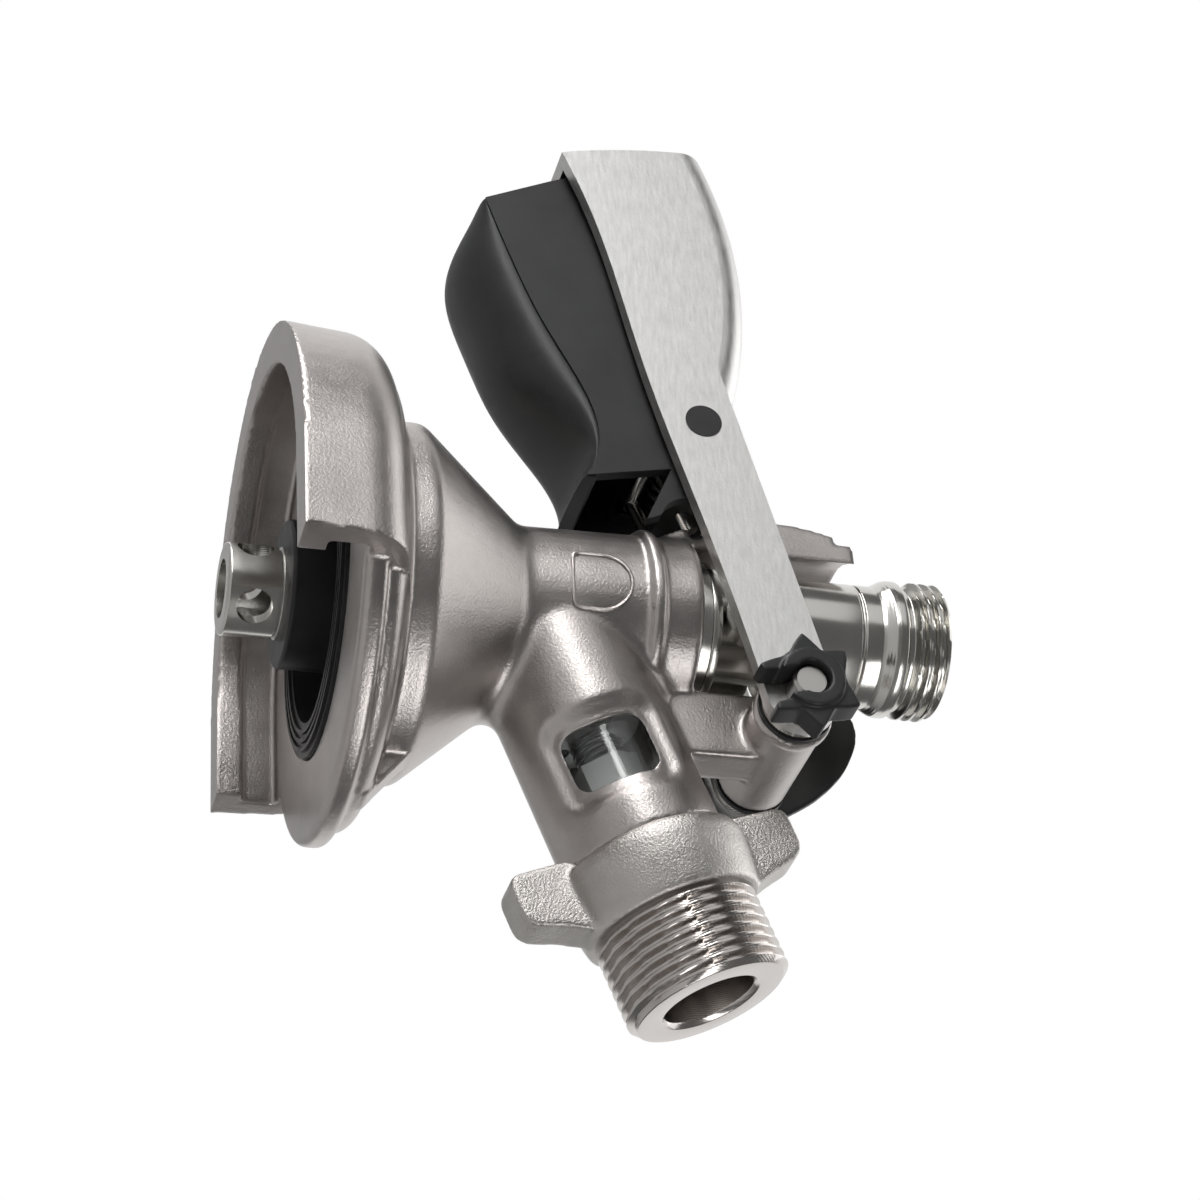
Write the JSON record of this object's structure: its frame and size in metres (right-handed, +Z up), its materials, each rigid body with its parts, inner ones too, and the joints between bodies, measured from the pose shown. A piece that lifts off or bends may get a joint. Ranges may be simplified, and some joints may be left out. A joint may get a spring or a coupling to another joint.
{
  "type": "keg coupler",
  "caption": "Flat-fitting keg coupler: an open claw, a lever that drives the probe down, a latched black grip, a gas branch with sight glass and winged nipple.",
  "frame": {"origin": "on the probe's axis, in the plane of the claw's underside", "axes": "+Z up the probe to the beer outlet; +X towards the grip, and -X is the claw's open side with the gas branch and the lever's pivot; +Y towards the star clip"},
  "size_m": [0.1607, 0.0858, 0.1184],
  "materials": {
    "satin_steel": "bead-blasted and electropolished stainless steel, satin",
    "brushed_steel": "pressed stainless steel, fine satin",
    "cast_steel": "investment-cast stainless steel with a faint grain",
    "polished_steel": "turned and polished stainless steel",
    "rubber": "black rubber",
    "black_plastic": "black moulded plastic, fine matt texture",
    "clear_glass": "clear tube",
    "white_plastic": "natural white plastic"
  },
  "bodies": {
    "coupler": {"coupler_body": "satin_steel", "body_seal": "rubber", "probe_bush": "polished_steel", "rod_seals": "rubber", "sight_glass": "clear_glass", "glass_washers": "rubber", "check_seat": "white_plastic", "check_guide": "white_plastic", "check_spring": "polished_steel", "gas_nipple": "cast_steel", "pivot_rings": "black_plastic", "pivot_pin": "polished_steel", "star_clip": "black_plastic", "thumb_cover": "black_plastic"},
    "lever": {"lever_frame": "brushed_steel", "arm_collars": "polished_steel", "drive_studs": "polished_steel", "grip_pin": "polished_steel", "pin_caps": "black_plastic", "latch_guide": "black_plastic", "grip_spring": "polished_steel"},
    "grip": {"grip_trigger": "black_plastic"},
    "latch": {"latch_fork": "polished_steel"},
    "probe": {"probe_tube": "polished_steel", "probe_tip": "polished_steel", "probe_seal": "rubber", "ball_retainer": "white_plastic"},
    "gas_valve": {"check_poppet": "white_plastic"},
    "ball": {"beer_ball": "polished_steel"}
  },
  "joints": [
    {"name": "lever_swing", "type": "hinge", "parent": "coupler", "child": "lever", "pos_m": [-0.0205, 0, 0.0839], "axis": [0, -1, 0], "range_deg": [0, 40]},
    {"name": "probe_slide", "type": "slide", "parent": "coupler", "child": "probe", "axis": [0, 0, 1], "range_m": [0, 0.0125]},
    {"name": "grip_squeeze", "type": "hinge", "parent": "lever", "child": "grip", "pos_m": [0.0311, 0, 0.0719], "axis": [0, -1, 0], "range_deg": [0, 12], "stiffness_Nm_per_rad": 0.5},
    {"name": "latch_pull", "type": "slide", "parent": "lever", "child": "latch", "axis": [0.9311, 0, -0.3649], "range_m": [0, 0.0016]},
    {"name": "gas_check", "type": "slide", "parent": "coupler", "child": "gas_valve", "axis": [0.9421, 0, -0.3355], "range_m": [0, 0.003], "stiffness_N_per_m": 300, "deforming": ["check_spring"]},
    {"name": "beer_check", "type": "slide", "parent": "probe", "child": "ball", "axis": [0, 0, 1], "range_m": [0, 0.004]}
  ],
  "couplings": [
    {"joint": "probe_slide", "follows": "lever_swing", "m_per_rad": 0.01776},
    {"joint": "latch_pull", "follows": "grip_squeeze", "m_per_rad": 0.00725}
  ]
}
